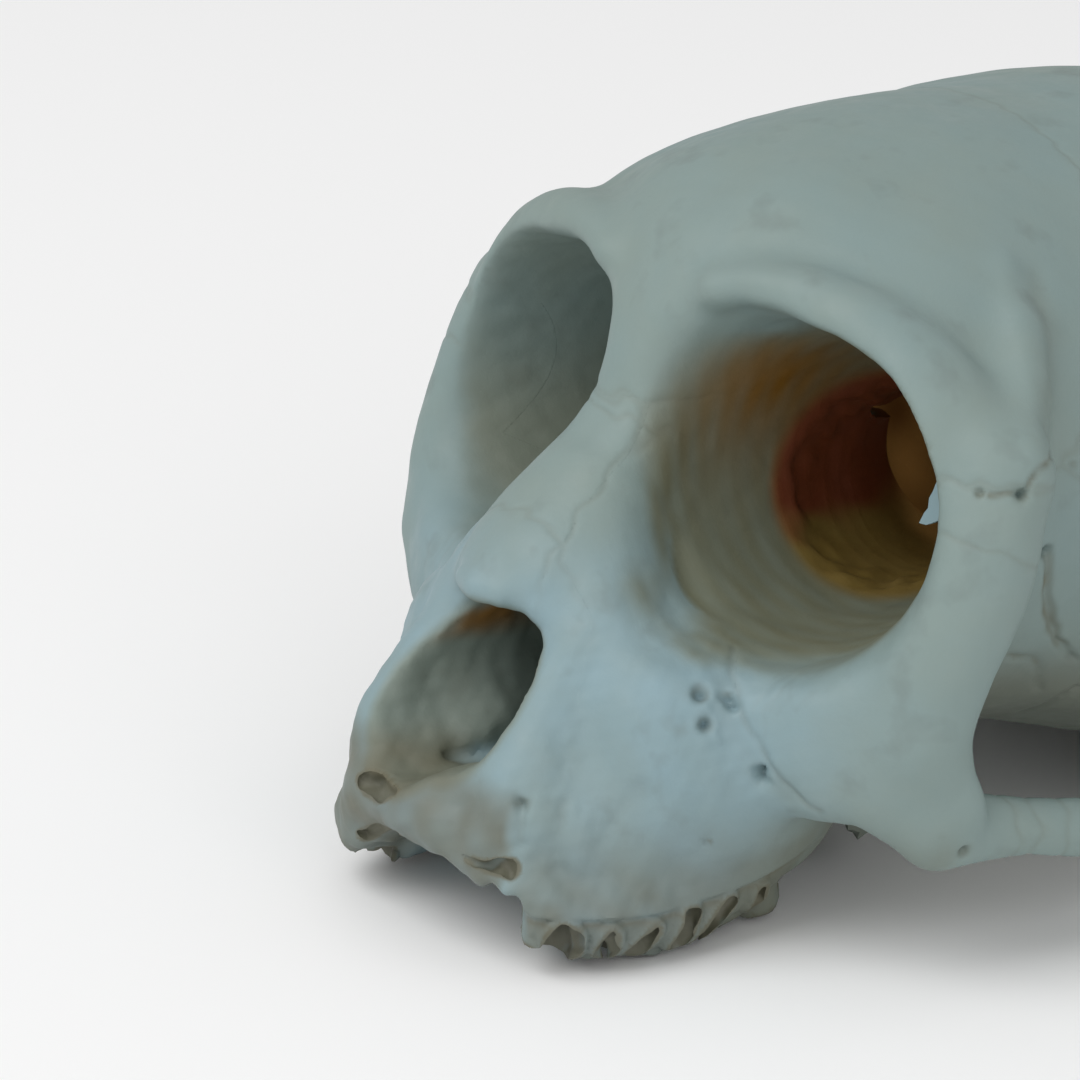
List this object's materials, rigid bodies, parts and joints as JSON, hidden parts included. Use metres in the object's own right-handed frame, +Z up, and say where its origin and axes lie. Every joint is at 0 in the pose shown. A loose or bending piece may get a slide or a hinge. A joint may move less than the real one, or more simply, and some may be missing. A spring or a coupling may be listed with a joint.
{
  "type": "monkey skull",
  "caption": "Skull of a small monkey without lower jaw or teeth: round orbits, low wide nose, broken front of the jaw, slender cheek arches, long rounded braincase.",
  "frame": {"origin": "centre of the footprint's box, on the surface that the skull rests on", "axes": "+Z up, -Y towards the face, +X to the skull's own left; the face tips up 5 degrees, as the skull rests"},
  "size_m": [0.0638, 0.0944, 0.0476],
  "materials": {
    "bone_frontal": "dry bone, matte, cool grey green",
    "bone_parietal": "dry bone, matte, cool grey green",
    "bone_occipital": "dry bone, matte",
    "bone_temporal": "dry bone, matte",
    "bone_sphenoid": "dry bone, matte, browner in the orbits",
    "bone_zygomatic": "dry bone, matte, greenish",
    "bone_maxilla": "dry bone, matte, bluish white",
    "bone_premaxilla": "dry bone, matte, stained",
    "bone_nasal": "dry bone, matte"
  },
  "bodies": {
    "root": {"frontal": "bone_frontal", "parietal_left": "bone_parietal", "parietal_right": "bone_parietal", "occipital": "bone_occipital", "temporal_left": "bone_temporal", "temporal_right": "bone_temporal", "sphenoid": "bone_sphenoid", "zygomatic_left": "bone_zygomatic", "zygomatic_right": "bone_zygomatic", "maxilla_left": "bone_maxilla", "maxilla_right": "bone_maxilla", "premaxilla": "bone_premaxilla", "nasal_bones": "bone_nasal"}
  },
  "joints": []
}
